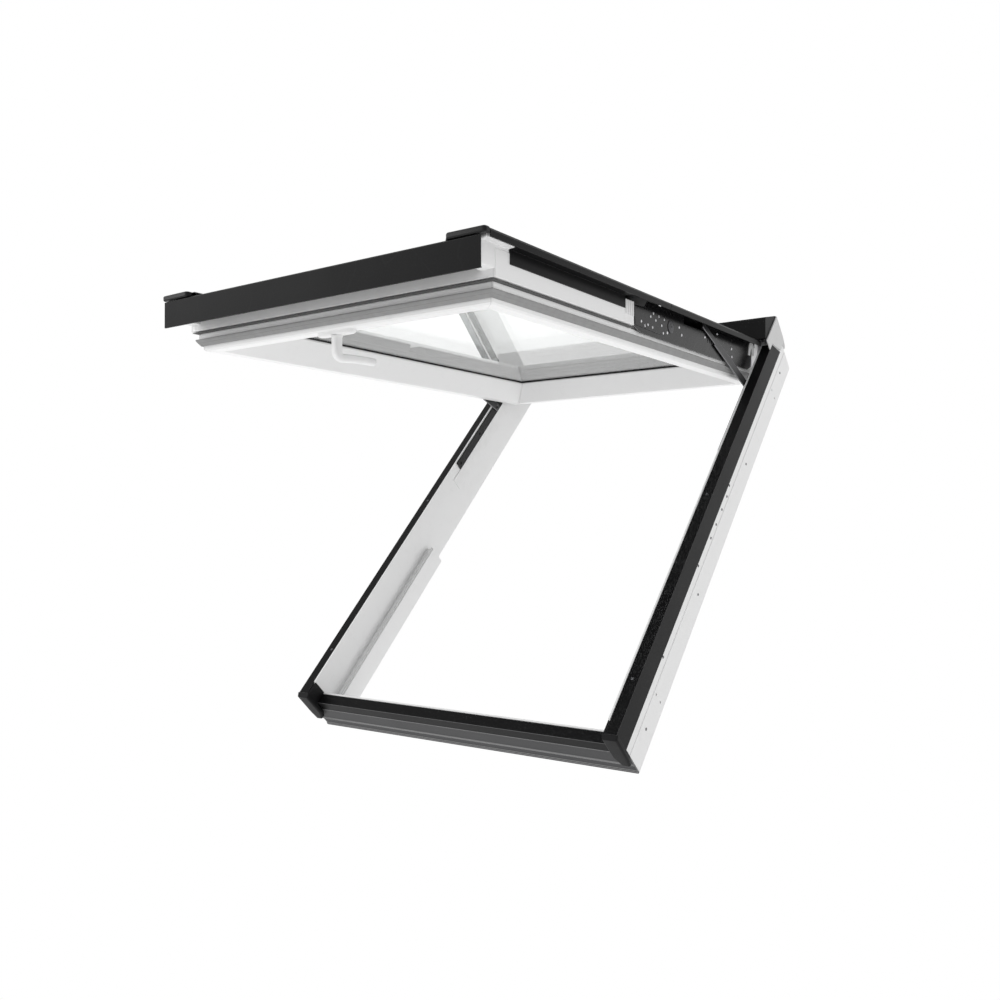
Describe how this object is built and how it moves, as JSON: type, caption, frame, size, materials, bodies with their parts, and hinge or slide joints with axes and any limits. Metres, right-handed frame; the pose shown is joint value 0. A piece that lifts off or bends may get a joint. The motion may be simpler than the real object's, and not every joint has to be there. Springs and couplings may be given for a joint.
{
  "type": "roof window",
  "caption": "Top-hung and pivoting roof window with white hollow profiles, black sheet covers, side arms, stays, double glazing and a lever handle.",
  "frame": {"origin": "centre of the frame's room-side face, on the plane that it rests on", "axes": "+X to the right seen from the sill, +Y from the sill towards the head along the roof slope, +Z out of the roof"},
  "size_m": [0.788, 1.208, 0.9414],
  "materials": {
    "white_plastic": "satin moulded",
    "grey_plastic": "satin moulded",
    "black_sheet": "satin powder coat",
    "grey_sheet": "satin powder coat",
    "cheek_sheet": "satin",
    "black_steel": "smooth coated",
    "stay_steel": "smooth coated",
    "bright_steel": "zinc plated",
    "black_plastic": "fine grain",
    "grey_rubber": "matt",
    "dark_rubber": "matt",
    "glass": "clear",
    "spacer": "matt"
  },
  "bodies": {
    "frame": {"frame_sill": "white_plastic", "frame_head": "white_plastic", "jamb_left": "white_plastic", "jamb_right": "white_plastic", "jamb_bead_left": "white_plastic", "jamb_bead_right": "white_plastic", "frame_steel": "bright_steel", "sill_face": "grey_sheet", "sill_cover": "black_sheet", "corner_caps": "black_plastic", "jamb_cover_left": "black_sheet", "jamb_cover_right": "black_sheet", "hood": "black_sheet", "hood_cheek_left": "cheek_sheet", "hood_cheek_right": "cheek_sheet", "frame_gasket": "grey_rubber", "stay_rail_left": "black_steel", "stay_rail_right": "black_steel", "rail_covers": "white_plastic", "hinge_bracket_left": "bright_steel", "hinge_bracket_right": "bright_steel", "frame_screws": "bright_steel", "lock_keeper": "bright_steel"},
    "lift_arms": {"arm_left": "black_steel", "arm_right": "black_steel", "arm_cover_left": "black_sheet", "arm_cover_right": "black_sheet", "arm_rivets": "bright_steel", "pivot_pins": "bright_steel", "arm_buffers": "white_plastic", "brake_plates": "black_steel"},
    "stay_left": {"stay_left": "stay_steel"},
    "stay_right": {"stay_right": "stay_steel"},
    "sash": {"sash_bottom_rail": "white_plastic", "sash_top_rail": "white_plastic", "sash_stile_left": "white_plastic", "sash_stile_right": "white_plastic", "sash_steel": "bright_steel", "inner_seal": "grey_rubber", "lip_seal": "grey_rubber", "glass_pad_inner": "dark_rubber", "glass_pad_outer": "dark_rubber", "glass_inner": "glass", "glass_outer": "glass", "glass_spacer": "spacer", "side_trim_left": "white_plastic", "side_trim_right": "white_plastic", "trim_end_blocks": "white_plastic", "bottom_trim": "grey_plastic", "trim_corners": "white_plastic", "bottom_cover": "black_sheet", "side_cover_left": "black_sheet", "side_cover_right": "black_sheet", "cover_noses": "black_plastic", "top_cover": "black_sheet", "pivot_bushes": "bright_steel", "lock_case": "bright_steel", "handle_base": "white_plastic", "cover_clips": "white_plastic"},
    "handle": {"handle_lever": "white_plastic"}
  },
  "joints": [
    {"name": "head_hinge", "type": "hinge", "parent": "frame", "child": "lift_arms", "pos_m": [0, 0.524, 0.148], "axis": [1, 0, 0], "range_deg": [0, 45]},
    {"name": "centre_pivot", "type": "hinge", "parent": "lift_arms", "child": "sash", "pos_m": [0, 0.15984, 0.44145], "axis": [-1, 0, 0], "range_deg": [0, 60]},
    {"name": "stay_left_hinge", "type": "hinge", "parent": "frame", "child": "stay_left", "pos_m": [0, 0.392, 0.108], "axis": [1, 0, 0], "range_deg": [0, 66]},
    {"name": "stay_right_hinge", "type": "hinge", "parent": "frame", "child": "stay_right", "pos_m": [0, 0.392, 0.108], "axis": [1, 0, 0], "range_deg": [0, 66]},
    {"name": "handle_turn", "type": "hinge", "parent": "sash", "child": "handle", "pos_m": [0, -0.29624, 0.81268], "axis": [0, 0.7071, 0.7071], "range_deg": [-78, 12]}
  ],
  "couplings": [
    {"joint": "stay_left_hinge", "follows": "head_hinge", "ratio": 1.396},
    {"joint": "stay_right_hinge", "follows": "head_hinge", "ratio": 1.396}
  ]
}
